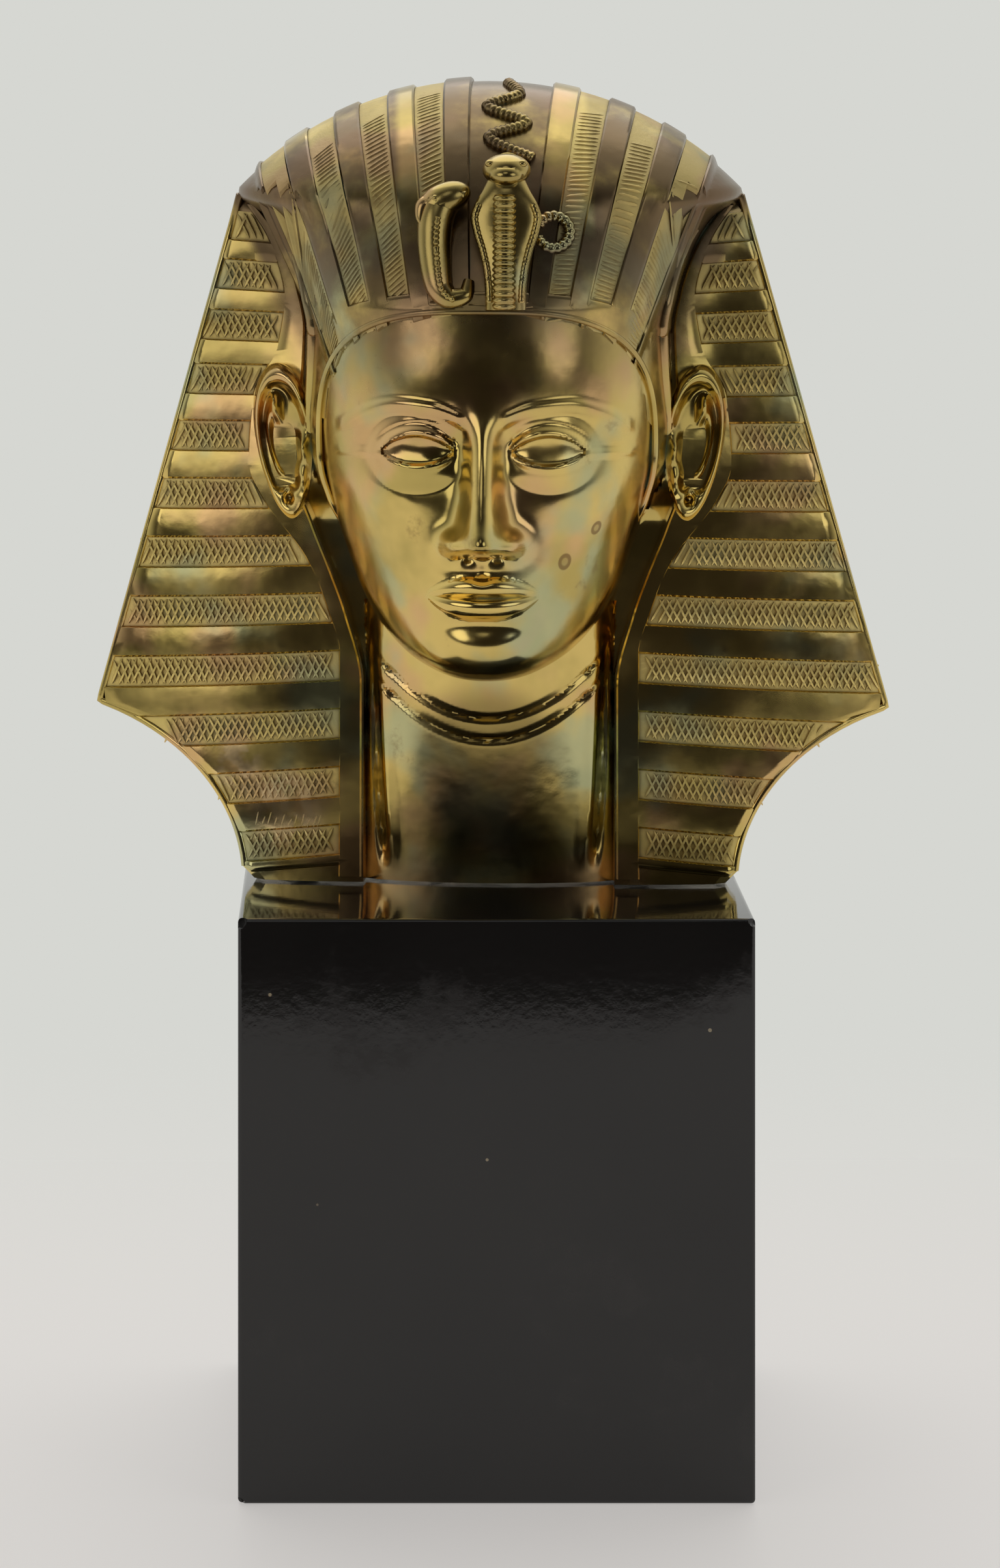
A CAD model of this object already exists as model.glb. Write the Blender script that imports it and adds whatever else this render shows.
import math
import random

import bmesh
import bpy
from mathutils import Matrix, Vector


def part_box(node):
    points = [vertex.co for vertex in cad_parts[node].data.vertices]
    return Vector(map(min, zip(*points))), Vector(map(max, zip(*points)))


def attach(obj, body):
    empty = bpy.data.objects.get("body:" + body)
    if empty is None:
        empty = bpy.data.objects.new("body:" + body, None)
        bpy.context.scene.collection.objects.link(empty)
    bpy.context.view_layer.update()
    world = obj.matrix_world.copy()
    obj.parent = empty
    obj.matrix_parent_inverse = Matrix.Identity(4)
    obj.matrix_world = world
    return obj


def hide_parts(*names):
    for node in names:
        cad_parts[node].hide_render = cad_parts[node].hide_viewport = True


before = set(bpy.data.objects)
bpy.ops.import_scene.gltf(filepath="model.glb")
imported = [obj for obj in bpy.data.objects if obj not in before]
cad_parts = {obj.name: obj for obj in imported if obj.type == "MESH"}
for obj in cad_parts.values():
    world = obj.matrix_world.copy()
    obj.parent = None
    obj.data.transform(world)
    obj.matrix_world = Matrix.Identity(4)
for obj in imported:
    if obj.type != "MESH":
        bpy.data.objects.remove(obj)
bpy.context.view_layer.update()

draw = random.Random(7)

# Places taken from the frame, in metres
PLINTH_LOW, PLINTH_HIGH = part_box("plinth")
BUST_LOW, BUST_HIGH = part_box("bust")
PLINTH_BEVEL, CHIP_RADII = 0.0008, (0.0021, 0.0016, 0.0016)
BUST_FORWARD = 0.004
BUST_TURN = math.radians(-3.5)
HEIGHT_PARTS = 162.0
PART = (BUST_HIGH[2] - BUST_LOW[2]) / HEIGHT_PARTS
BUST_FRAME = (
    Matrix.Translation((0, -BUST_FORWARD, BUST_LOW[2]))
    @ Matrix.Rotation(BUST_TURN, 4, "Z")
    @ Matrix.Diagonal((PART, PART, PART, 1))
)

# The camera, from the photograph's own frame of 1535 by 2408 pixels
IMAGE_WIDTH, IMAGE_HEIGHT = 1535, 2408
VANISH_X, HORIZON_Y = 550, 100
PLINTH_PX, PLINTH_MIDDLE_PX, PLINTH_TOP_PX = 795, 762.5, 1412
CAMERA_DISTANCE = 0.9
LONG_SIDE_MM = 36

# The paper floor, in metres in front of and behind the plinth's middle
FLOOR_FRONT, FLOOR_BACK, FADE_FROM = -0.52, 0.42, 0.02
FLOOR_HALF_WIDTH, FLOOR_DROP = 1.6, 0.0002

# Outline of the bust seen from the front, in parts of its height
FOOT_HALF = 50.0
FOOT_CUT = 2.4
SWEEP_OUT, SWEEP_UP = 45.8, 36.5
TIP_X, TIP_Z = 80.8, 34.5
CORNER_Z = 140.0
DOME_RADIUS, DOME_CENTRE = 71.2, 90.3
CORNER_X = math.sqrt(DOME_RADIUS**2 - (CORNER_Z - DOME_CENTRE) ** 2)
DOME_TOP = DOME_CENTRE + DOME_RADIUS
CORNER_LOW, CORNER_HIGH = CORNER_Z - 6.0, CORNER_Z + 1.0

# Depths of the main masses
DOME_FRONT, DOME_FRONT_CENTRE = 50.0, 90.0
DOME_BACK, DOME_BACK_CENTRE = 50.5, 98.0
FOOT_FRONT = 8.0
WING_FALL, WING_LEAN = 0.004, 0.03
WING_EDGE = 9.0
EDGE_FALL, EDGE_FALL_IN, EDGE_FALL_OUT = 1.8, 2.2, 0.3
FILLET_RISE, FILLET_WIDTH, FILLET_SOFT, FILLET_REACH = 1.8, 6.0, 5.0, 2.5
FILLET_LOW, FILLET_HIGH = 64, 92
CROWN_EDGE_SHARE = 0.985

# Raised ornament: heights above the ground, and depth of its root in the casting
BAND_RISE, BAND_ROOT = 0.9, 1.4
STRIPE_RISE = 1.0
HATCH_HEIGHT = 5.8
GROUND_RISE, DOME_GROUND = 0.07, 0.32
FAN_REFERENCE, FAN_LEVEL = 50.0, 100.0
STRIPE_AXIS_Z = 32.0
STRIPE_CENTRE = 58.0

# The cloth's opening over the forehead, and the crown above it
RIM_Z, RIM_WAIST, RIM_HALF, RIM_END = 117.2, 88.0, 33.4, 33.2
RIM_RADIUS, RIM_FOOT = 0.7, 64.0
STRIPES_END, STRIPES_DROP = 120.8, 6.3
FACE_SINK, SINK_INSET, SINK_MARGIN = 4.0, 3.0, 1.2
RECESS_TOP, RECESS_FADE = 84.0, 12

# Curves as (height, value) stops
CLOTH_EDGE = [(0, 25.3), (40, 25.3), (54, 28.6), (62, 31.5), (72, 35.5), (80, 38.0),
              (92, 38.2), (104, 37.2), (112, 36.9), (119, 38.2), (126, 40.5), (131, 43.0),
              (136, 46.8), (140, 50.8)]
BORDER_EDGE = [(0, 30.3), (46, 30.3), (54, 32.4), (65, 37), (77, 46), (84, 49), (98, 48),
               (108, 43.0), (118, 41.6), (126, 43.4), (131, 45.6), (136, 49.0), (139.5, 51.2)]
CORE_WIDTH = [(0, 27), (20, 26), (45, 25), (56, 25), (62, 26.5), (70, 28.5), (78, 33),
              (86, 36), (96, 36.6), (112, 36.5)]
TEMPLE_WIDTH = [(62, 26.5), (70, 28.2), (78, 31.4), (84, 33.0), (88, 33.4)]
CORE_DEPTH = [(0, 8), (20, 11.5), (40, 17), (48, 19), (56, 24), (62, 34), (75, 38), (90, 41),
              (105, 43.5), (112, 44.8), (117.5, 46.2)]
RECESS_FLOOR = [(0, 2.5), (40, 1.5), (60, -1), (100, -1), (112, -9)]
BACK_DEPTH = [(0, 22), (25, 24), (50, 29), (75, 42), (90, 49), (98, 50.5)]
FACE_WIDTH = [(41.5, 5), (43, 9), (45, 13), (48, 17.5), (53, 22), (60, 26), (68, 29),
              (78, 32.2), (86, 34.6), (95, 35.4), (104, 35.3), (120, 34.5)]
FACE_DEPTH = [(41.5, 12), (42.6, 22), (44.2, 31), (46.5, 36.5), (50, 39.2), (56, 40.6),
              (66, 42.2), (76, 43.4), (86, 44.6), (96, 46.2), (106, 46.8), (120, 45.6)]
NOSE_RISE = [(66.5, 0), (69.2, 1.0), (70.6, 7.2), (72.4, 11), (75.5, 10.7), (82, 7.4),
             (88, 4.6), (93, 2.6), (98, 0.8), (103, 0)]
NOSE_WIDTH = [(68, 5.2), (72, 4.9), (76, 4.2), (84, 3.4), (92, 3.4), (98, 5)]
BROW_LINE = [(4, 95.8), (10, 98.0), (17, 98.6), (24, 96.8), (29, 94.0)]
BAND_TOPS = [(0, 9.4), (8, 103.8), (9, 114.7), (10, 125.0), (11, 135.0)]

# Soft swellings of the face: place across and up, half sizes, and how far forward
FACE_SWELLS = [
    (12.6, 90.0, 7.6, 5.4, -4.4),
    (5.6, 91.0, 3.0, 4.5, -2.0),
    (21.0, 81.0, 9.0, 8.0, 1.9),
    (21.0, 65.0, 7.0, 8.0, -0.8),
    (0.0, 63.5, 12.5, 8.5, 3.2),
    (0.0, 50.0, 11.0, 6.5, 2.4),
    (0.0, 56.0, 8.0, 2.4, -1.3),
    (6.1, 72.0, 2.5, 2.5, 4.2),
    (0.0, 73.2, 3.2, 2.6, 1.6),
    (12.8, 61.7, 3.4, 3.2, -0.8),
]
EYE_X, EYE_Z, EYE_REACH = 12.8, 89.6, 7.4
EYE_HALF_WIDTH, EYE_HALF_HEIGHT, EYE_SWELL = 10.5, 8.2, 4.6
LID_UP, LID_DOWN, EYE_INSET, UPPER_LID, LOWER_LID, LID_CREASE = 3.5, 2.5, 0.55, 0.75, 0.5, 0.4
BROW_RISE, TAIL_RISE, TAIL_X, TAIL_Z = 0.9, 0.5, 19, 89.3
MOUTH_Z, MOUTH_HALF = 61.7, 11.2
UPPER_LIP, LOWER_LIP, LIP_DIP = (2.1, 1.9), (2.5, 2.4), 0.35
GROOVE_DEPTH, NOSTRIL_DEPTH = 0.7, 1.2
FACE_SQUARE = 2.3

# Spacing of the meshes' rows and columns
STEP, DOME_ROWS = 1.25, 44
NECK_LOW, NECK_TOP, WALL_LOW = 27.0, 50.0, 112.0
FACE_STEP, FACE_COLUMNS = 0.38, 76
FACE_LOW, FACE_HIGH = 44.5, 117


def smooth_path(stops, at):
    """Value of a smooth curve through (place, value) stops that never overshoots them."""
    if at <= stops[0][0]:
        return stops[0][1]
    if at >= stops[-1][0]:
        return stops[-1][1]

    def slope(k):
        return (stops[k + 1][1] - stops[k][1]) / (stops[k + 1][0] - stops[k][0])

    def tangent(k):
        if k == 0:
            return slope(0)
        if k == len(stops) - 1:
            return slope(k - 1)
        before, after = slope(k - 1), slope(k)
        return 0 if before * after <= 0 else 2 * before * after / (before + after)

    i = 0
    while stops[i + 1][0] < at:
        i += 1
    (start, low), (end, high) = stops[i], stops[i + 1]
    span = end - start
    t = (at - start) / span
    return (
        (2 * t**3 - 3 * t**2 + 1) * low
        + (t**3 - 2 * t**2 + t) * span * tangent(i)
        + (3 * t**2 - 2 * t**3) * high
        + (t**3 - t**2) * span * tangent(i + 1)
    )


def ramp(low, high, at):
    """A smooth step from 0 to 1 between two places."""
    t = min(1, max(0, (at - low) / (high - low)))
    return t * t * (3 - 2 * t)


def steps(low, high, count):
    """Evenly spaced values from low to high, both included."""
    return [low + (high - low) * i / count for i in range(count + 1)]


def soft_max(a, b, soft):
    """The larger of two lengths, rounded where they are nearly the same."""
    near = max(0, 1 - abs(a - b) / max(soft, 0.001))
    return max(a, b) + soft * near * near / 4


def mound(across, up, half_width, half_height):
    return math.exp(-((across / half_width) ** 2) - (up / half_height) ** 2)


def ridge(distance, half, sharpness=2):
    return math.exp(-(abs(distance / half) ** sharpness))


# The body of the casting


def half_width(z):
    if z < TIP_Z:
        swept = FOOT_HALF + SWEEP_OUT * (1 - math.sqrt(1 - (z / SWEEP_UP) ** 2))
        return swept - FOOT_CUT * max(0, 1 - z / FOOT_CUT)
    if z < CORNER_Z:
        return TIP_X - (TIP_X - CORNER_X) * (z - TIP_Z) / (CORNER_Z - TIP_Z)
    return math.sqrt(max(0, DOME_RADIUS**2 - (z - DOME_CENTRE) ** 2))


def cloth_edge(z):
    above = ramp(CORNER_Z - 4, CORNER_HIGH, z)
    return (1 - above) * smooth_path(CLOTH_EDGE, z) + above * CROWN_EDGE_SHARE * half_width(z)


def border_edge(z):
    return smooth_path(BORDER_EDGE, z)


def oval(depth, across, wide):
    return depth * math.sqrt(max(0, 1 - (across / wide) ** 2))


def dome_depth(z):
    height = DOME_TOP - DOME_FRONT_CENTRE
    return DOME_FRONT * math.sqrt(max(0, 1 - ((z - DOME_FRONT_CENTRE) / height) ** 2))


def wing_forward(across, z):
    outward = max(0, across - CLOTH_EDGE[0][1])
    near = math.exp(-(((across - cloth_edge(z)) / FILLET_WIDTH) ** 2))
    edge = ramp(half_width(z) - EDGE_FALL_IN, half_width(z) + EDGE_FALL_OUT, across)
    return (
        FOOT_FRONT
        - WING_FALL * outward**2
        - WING_LEAN * z
        + FILLET_RISE * ramp(FILLET_LOW, FILLET_HIGH, z) * near
        - EDGE_FALL * edge**2
    )


NECK_END, LINE_HEIGHTS, LINE_RISE, LINE_REACH = 62, (34.1, 29.6), 12.5, 23
LINE_DEPTH, LINE_HALF = 0.75, 0.62
FLUTE_PATH, FLUTE_DEPTH, FLUTE_LIP = [(0, 21.0), (20, 22.4), (45, 23.4)], 1.7, 0.9


def neck_relief(across, z):
    """Two incised lines round the neck and the flutes that frame it."""
    if z > NECK_END:
        return 0
    rise = LINE_RISE * (across / LINE_REACH) ** 2
    lines = sum(ridge(z - base - rise, LINE_HALF) for base in LINE_HEIGHTS)
    flute = smooth_path(FLUTE_PATH, z)
    fade = ramp(2, 9, z) * (1 - ramp(46, 58, z))
    lip = FLUTE_LIP * ridge(across - flute + 2.0, 1.1)
    groove = fade * (FLUTE_DEPTH * ridge(across - flute, 0.8) - lip)
    inside = 1 - ramp(flute - 1.2, flute - 0.4, across)
    return -(LINE_DEPTH * lines * inside + groove)


def opening(z):
    """Half the width of the cloth's opening round the face."""
    if z > RIM_Z:
        return 0
    if z < RIM_WAIST:
        return smooth_path(TEMPLE_WIDTH, z)
    return RIM_HALF * (1 - ((z - RIM_WAIST) / (RIM_Z - RIM_WAIST)) ** 3) ** (1 / 3)


def head_forward(across, z):
    """Neck, temples and the front of the dome, as if the cloth had no opening."""
    depth = smooth_path(CORE_DEPTH, z) if z < CORE_DEPTH[-1][0] else dome_depth(z)
    wide = smooth_path(CORE_WIDTH, z) if z < CORE_WIDTH[-1][0] else cloth_edge(z)
    wide += ramp(CORNER_LOW, CORNER_HIGH, z) * (half_width(z) - wide)
    full = 2 + 0.3 * ramp(62, 78, z) * (1 - ramp(RIM_Z, CORNER_LOW, z))
    return depth * max(0, 1 - (across / wide) ** full) ** (1 / full)


def sink(across, z):
    """How far the body lies back behind the face."""
    return FACE_SINK * ramp(56, 66, z) if across < opening(z + SINK_INSET) - SINK_MARGIN else 0


def core_forward(across, z):
    """The head, sunk inside the opening, down to the floor of the recess beside it."""
    return max(head_forward(across, z) - sink(across, z), smooth_path(RECESS_FLOOR, z))


def front_forward(across, z):
    """Forward distance of the body's front: neck in its recess, temples in a fillet, then the dome."""
    edge = cloth_edge(z)
    neck = core_forward(across, z) if across < edge - 0.2 else wing_forward(across, z)
    joined = ramp(RECESS_TOP - RECESS_FADE, RECESS_TOP, z)
    if joined == 0:
        return neck
    wing = wing_forward(across, z)
    soft = FILLET_SOFT * (1 - ramp(edge + 0.2, edge + FILLET_REACH, across))
    head = head_forward(across, z) - sink(across, z) if across < edge + FILLET_REACH else wing
    temple = soft_max(head, wing, soft)
    front = neck + joined * (temple - neck)
    dome = ramp(CORNER_LOW, CORNER_HIGH, z)
    return (1 - dome) * front + dome * head_forward(across, z)


def back_depth(across, z):
    if z < DOME_BACK_CENTRE:
        middle = smooth_path(BACK_DEPTH, z)
    else:
        middle = oval(DOME_BACK, z - DOME_BACK_CENTRE, DOME_TOP - DOME_BACK_CENTRE)
    side = half_width(z)
    dome = ramp(CORNER_LOW, CORNER_HIGH, z)
    edge = (1 - dome) * (WING_EDGE - wing_forward(side, z)) + dome * 0.1 * middle
    return edge + (middle - edge) * max(0, 1 - (across / side) ** 2) ** 0.55


def body_ring(z):
    """One closed section of the body, anticlockwise seen from above."""
    core_half, wing_columns, back_columns = 36, 26, 56
    side = half_width(z) * (1 - 0.005 * ramp(CORNER_LOW, CORNER_HIGH, z))
    edge = cloth_edge(z)
    across = [side + (edge - side) * math.sin(math.pi / 2 * i / wing_columns) ** 0.8
              for i in range(wing_columns + 1)]
    inner = [(edge - 0.35) * math.sin(math.pi / 2 * i / core_half) for i in range(core_half, -1, -1)]
    right = [(x, front_forward(x, z)) for x in across]
    right += [(x, front_forward(x, z) + neck_relief(x, z)) for x in inner]
    front = [Vector((-x, -f, z)) for x, f in right]
    front += [Vector((x, -f, z)) for x, f in reversed(right[:-1])]
    turns = [math.pi * (i + 0.5) / back_columns for i in range(back_columns)]
    back = [Vector((side * math.cos(t), back_depth(side * abs(math.cos(t)), z), z)) for t in turns]
    return front + back


def body_rows():
    """Heights of the body's sections, closer together at the neck, the tips and the corners."""
    rows = [0, 0.8, 1.6]
    for low, high, count in ((FOOT_CUT, NECK_LOW, 20), (NECK_LOW, TIP_Z, 16), (TIP_Z, NECK_TOP, 34),
                             (NECK_TOP, WALL_LOW, round((WALL_LOW - NECK_TOP) / STEP)),
                             (WALL_LOW, CORNER_Z, round(2 * (CORNER_Z - WALL_LOW) / STEP))):
        rows += steps(low, high, count)[:-1]
    start = math.asin((CORNER_Z - DOME_CENTRE) / DOME_RADIUS)
    rows += [DOME_CENTRE + DOME_RADIUS * math.sin(start + (math.pi / 2 - start) * i / DOME_ROWS)
             for i in range(DOME_ROWS)]
    return rows


# Mesh helpers


def placed(name, data):
    obj = bpy.data.objects.new(name, data)
    bpy.context.scene.collection.objects.link(obj)
    return obj


def mesh_object(bm, name="shape"):
    bmesh.ops.recalc_face_normals(bm, faces=bm.faces)
    mesh = bpy.data.meshes.new(name)
    bm.to_mesh(mesh)
    bm.free()
    return placed(name, mesh)


def add_skin(bm, rings, peak=None):
    """A closed solid through a stack of closed rings, with an optional point at its end."""
    rows = [[bm.verts.new(point) for point in ring] for ring in rings]
    count = len(rows[0])
    for low, high in zip(rows, rows[1:]):
        for i in range(count):
            j = (i + 1) % count
            bm.faces.new((low[i], low[j], high[j], high[i]))
    bm.faces.new(rows[0][::-1])
    if peak is None:
        bm.faces.new(rows[-1])
    else:
        top = bm.verts.new(peak)
        for i in range(count):
            bm.faces.new((rows[-1][i], rows[-1][(i + 1) % count], top))


def skin(rings, peak=None):
    bm = bmesh.new()
    add_skin(bm, rings, peak)
    return mesh_object(bm)


def tube(path, radii, sides=12):
    """A round bar along a path, with one radius or a list of them."""
    radii = radii if isinstance(radii, list) else [radii] * len(path)
    rings = []
    for i, point in enumerate(path):
        before, after = path[max(0, i - 1)], path[min(len(path) - 1, i + 1)]
        along = (after - before).normalized()
        sideways = along.cross(Vector((0, 1, 0)))
        if sideways.length < 0.2:
            sideways = along.cross(Vector((0, 0, 1)))
        sideways.normalize()
        outward = along.cross(sideways).normalized()
        ring = []
        for k in range(sides):
            turn = 2 * math.pi * k / sides
            ring.append(point + radii[i] * (math.cos(turn) * sideways + math.sin(turn) * outward))
        rings.append(ring)
    return skin(rings)


def ball(centre, half_sizes, turn=0.0):
    bm = bmesh.new()
    bmesh.ops.create_uvsphere(bm, u_segments=28, v_segments=16, radius=1.0)
    scale = Matrix.Diagonal((*half_sizes, 1))
    bmesh.ops.transform(
        bm, matrix=Matrix.Translation(centre) @ Matrix.Rotation(turn, 4, "Y") @ scale, verts=bm.verts
    )
    return mesh_object(bm)


def oval_ring(centre, wide, thick, sides):
    turns = [k * math.pi / (sides // 2) for k in range(sides)]
    return [centre + Vector((wide * math.cos(t), thick * math.sin(t), 0)) for t in turns]


def mirrored(points, sign):
    return [Vector((sign * p[0], p[1], p[2])) for p in points]


def through(stops, count):
    """Points of a smooth curve through a few stops given as tuples of equal length."""
    parts = [[(k, stop[axis]) for k, stop in enumerate(stops)] for axis in range(len(stops[0]))]
    last = len(stops) - 1
    return [tuple(smooth_path(p, last * i / (count - 1)) for p in parts) for i in range(count)]


# The face: calm and even


def eye_relief(across, z):
    """An almond opening over a smooth ball, with a rounded lid above and below."""
    t = (across - EYE_X) / EYE_REACH
    spread = max(0, 1 - t * t) ** 0.8
    up, down = LID_UP * spread, LID_DOWN * spread
    lift = z - EYE_Z
    away = (t * EYE_REACH / EYE_HALF_WIDTH) ** 2 + (lift / EYE_HALF_HEIGHT) ** 2
    relief = EYE_SWELL * max(0, 1 - away) ** 1.4
    present = 1 - ramp(0.92, 1.08, abs(t))
    inside = ramp(-down, -down + 0.5, lift) * (1 - ramp(up - 0.5, up, lift)) * (spread > 0)
    relief -= EYE_INSET * inside
    relief += present * UPPER_LID * ridge(lift - up - 0.45, 0.85)
    relief += present * LOWER_LID * ridge(lift + down + 0.4, 0.75)
    relief -= LID_CREASE * present * ridge(lift - up - 2.1, 0.6)
    return relief


def face_relief(across, z):
    relief = sum(f * mound(across - x, z - c, w, h) for x, c, w, h, f in FACE_SWELLS)
    relief += smooth_path(NOSE_RISE, z) * ridge(across, smooth_path(NOSE_WIDTH, z), 2.4)
    relief += eye_relief(across, z)
    brow = ridge(z - smooth_path(BROW_LINE, across), 1.4, 4)
    relief += BROW_RISE * brow * ramp(3.4, 5, across) * (1 - ramp(28, 29.5, across))
    tail = ridge(z - TAIL_Z + 0.04 * (across - TAIL_X), 0.8, 4)
    relief += TAIL_RISE * tail * ramp(19.6, 20.8, across) * (1 - ramp(28.5, 30, across))
    corner = max(0, 1 - (across / MOUTH_HALF) ** 2) ** 0.7
    dip = LIP_DIP * ridge(across, 1.6)
    for way, (full, swell), thinner in ((1, UPPER_LIP, dip), (-1, LOWER_LIP, 0)):
        half = max(0.3, (full - thinner) * corner)
        middle = MOUTH_Z + way * half
        relief += swell * corner * max(0, 1 - ((z - middle) / half) ** 2) ** 0.7
    groove = ridge(across, 1.2) * ramp(65, 66.5, z) * (1 - ramp(68.5, 70, z))
    relief -= GROOVE_DEPTH * groove
    relief -= NOSTRIL_DEPTH * mound(across - 2.9, z - 69.4, 1.3, 0.9)
    return relief


def face_surface(x, z):
    """Forward distance of the face at a place seen from the front."""
    wide, deep = smooth_path(FACE_WIDTH, z), smooth_path(FACE_DEPTH, z)
    share = min(1, abs(x) / wide)
    rounded = (1 - share**FACE_SQUARE) ** (1 / FACE_SQUARE)
    return deep * rounded + (1 - ramp(0.86, 1.0, share)) * face_relief(abs(x), z)


def face_ring(z):
    wide = smooth_path(FACE_WIDTH, z)
    ring = []
    for i in range(-FACE_COLUMNS, FACE_COLUMNS + 1):
        t = i / FACE_COLUMNS
        turn = math.pi / 2 * (0.62 * t + 0.38 * t**3)
        x = math.copysign(wide * abs(math.sin(turn)) ** 0.94, t)
        ring.append(Vector((x, -face_surface(x, z), z)))
    return ring + [Vector((x, y, z)) for x, y in ((wide, 3), (wide, 6), (-wide, 6), (-wide, 3))]


def face():
    rows = [41.5, 41.7, 42.0, 42.3, 42.6, 42.95, 43.3, 43.7, 44.1]
    rows += steps(FACE_LOW, FACE_HIGH, round((FACE_HIGH - FACE_LOW) / FACE_STEP))
    return skin([face_ring(z) for z in rows])


# Bands of the side panels


def on_wing(across, z, lift):
    return across, -(wing_forward(across, z) + lift), z


def fan_line(level, across):
    """Height of a band's edge, which fans out gently from the level one beside the temple."""
    spread = 900 if level < FAN_LEVEL else 450
    return level + (level - FAN_LEVEL) / spread * (across - FAN_REFERENCE)


def band_end(level):
    """Where a band meets the outline."""
    near, far = FOOT_HALF - 8, TIP_X
    for _ in range(24):
        middle = (near + far) / 2
        if middle < half_width(max(0, fan_line(level, middle))):
            near = middle
        else:
            far = middle
    return near


def band_top(k):
    return smooth_path(BAND_TOPS, k)


BAND_STATIONS, BAND_COUNT, FOOT_BAND_LOW = 26, 11, 1.2
STRIP_TOP, EDGE_BOTTOM, EDGE_TOP, EDGE_STATIONS = 136.5, 2.6, 138.5, 120
EDGE_RADIUS, EDGE_INSET = 0.85, 0.75
BAND_PROFILE = ((0, 0, -BAND_ROOT), (0, 0.04, 0.4), (0, 0.45, 0.86), (0.5, 0, 1.0),
                (1, -0.28, 0.92), (1, -0.03, 0.6), (1, 0, -BAND_ROOT))
GROUND_PROFILE = ((0, 0, -0.6), (0, 0, GROUND_RISE), (0.5, 0, GROUND_RISE), (1, 0, GROUND_RISE),
                  (1, 0, -0.6))
STRIP_PROFILE = ((0, 0, -BAND_ROOT), (0, 0.05, 0.6), (0, 0.4, 0.98), (0.5, 0, 1.05),
                 (1, -0.3, 0.98), (1, -0.04, 0.6), (1, 0, -BAND_ROOT))


def band_ring(sign, low, high, share, margin, profile, inset):
    ring = []
    for between, shift, lift in profile:
        level = low + (high - low) * between
        start, end = border_edge(level) + margin, band_end(level) - inset
        across = start + (end - start) * share
        ring.append(on_wing(across, fan_line(level, across) + shift, lift))
    return mirrored(ring, sign)


def wing_band(sign, low, high):
    """A raised smooth band from the border strip to the outer edge."""
    shares = steps(0, 1, BAND_STATIONS)
    return skin([band_ring(sign, low, high, share, -1.2, BAND_PROFILE, 0.8) for share in shares])


def border_strip(sign):
    """The raised plain strip around the cloth's opening."""
    rings = []
    for z in steps(FOOT_BAND_LOW, STRIP_TOP, EDGE_STATIONS):
        inner, outer = cloth_edge(z) + 0.3, border_edge(z)
        ring = []
        for between, shift, lift in STRIP_PROFILE:
            across = inner + (outer - inner) * between + shift
            ring.append(on_wing(across, z, lift))
        rings.append(mirrored(ring, sign))
    return skin(rings)


def outer_edge(sign):
    """The thin rounded edge of the cloth, from the foot to the corner."""
    path = []
    for z in sorted(steps(EDGE_BOTTOM, EDGE_TOP, EDGE_STATIONS) + [TIP_Z]):
        across = half_width(z) - EDGE_INSET
        path.append(on_wing(across, z, 0.1))
    return tube(mirrored(path, sign), EDGE_RADIUS, sides=10)


# Stripes of the dome


def inside_body(point):
    x, y, z = abs(point.x), point.y, point.z
    if not 0 < z < DOME_TOP or x > half_width(z):
        return False
    return y > -front_forward(x, z) if y < 0 else y < back_depth(x, z)


def dome_ray(lean, climb):
    """Where a ray meets the dome: its centre, way and length, on a plane leaning from upright."""
    plane = Vector((math.sin(lean), 0, math.cos(lean)))
    centre = Vector((0, 0, STRIPE_AXIS_Z)) + STRIPE_CENTRE * plane
    way = -math.cos(climb) * Vector((0, 1, 0)) + math.sin(climb) * plane
    near, far = 30, 90
    for _ in range(20):
        middle = (near + far) / 2
        if inside_body(centre + middle * way):
            near = middle
        else:
            far = middle
    return centre, way, near


def dome_point(lean, climb, lift):
    centre, way, length = dome_ray(math.radians(lean), math.radians(climb))
    return centre + (length + lift) * way


STRIPE_FIRST, STRIPE_LAST, STRIPE_STATIONS = 27, 205, 96
OUTERMOST_LEFT, OUTERMOST_RIGHT = -23, 22


def dome_stripe(left, right, melt):
    """A raised stripe between two leans; melt is the side, if any, on which it fades into the dome."""
    stops = [(left, -BAND_ROOT), (left + 0.02, 0.6), (left + 0.2, 1.0)]
    stops += [(lean, 1.0) for lean in steps(left, right, 6)[1:-1]]
    stops += [(right - 0.2, 1.0), (right - 0.02, 0.6), (right, -BAND_ROOT)]
    rings = []
    for climb in steps(STRIPE_FIRST, STRIPE_LAST, STRIPE_STATIONS):
        ring = []
        for lean, share in stops:
            lift = share * STRIPE_RISE if share > 0 else share
            if melt and share > 0:
                along = (lean - left) / (right - left)
                away = along if melt > 0 else 1 - along
                lift *= 1 - 1.4 * ramp(0.15, 0.95, away)
            ring.append(dome_point(lean, climb, lift))
        rings.append(ring)
    return skin(rings)


def rim_height(across):
    """Height of the opening's edge over the forehead."""
    return RIM_WAIST + (RIM_Z - RIM_WAIST) * (1 - (across / RIM_HALF) ** 3) ** (1 / 3)


def rim_top(across):
    """Height at which the dome's stripes end over the forehead."""
    return STRIPES_END - STRIPES_DROP * (across / RIM_END) ** 3


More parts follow.
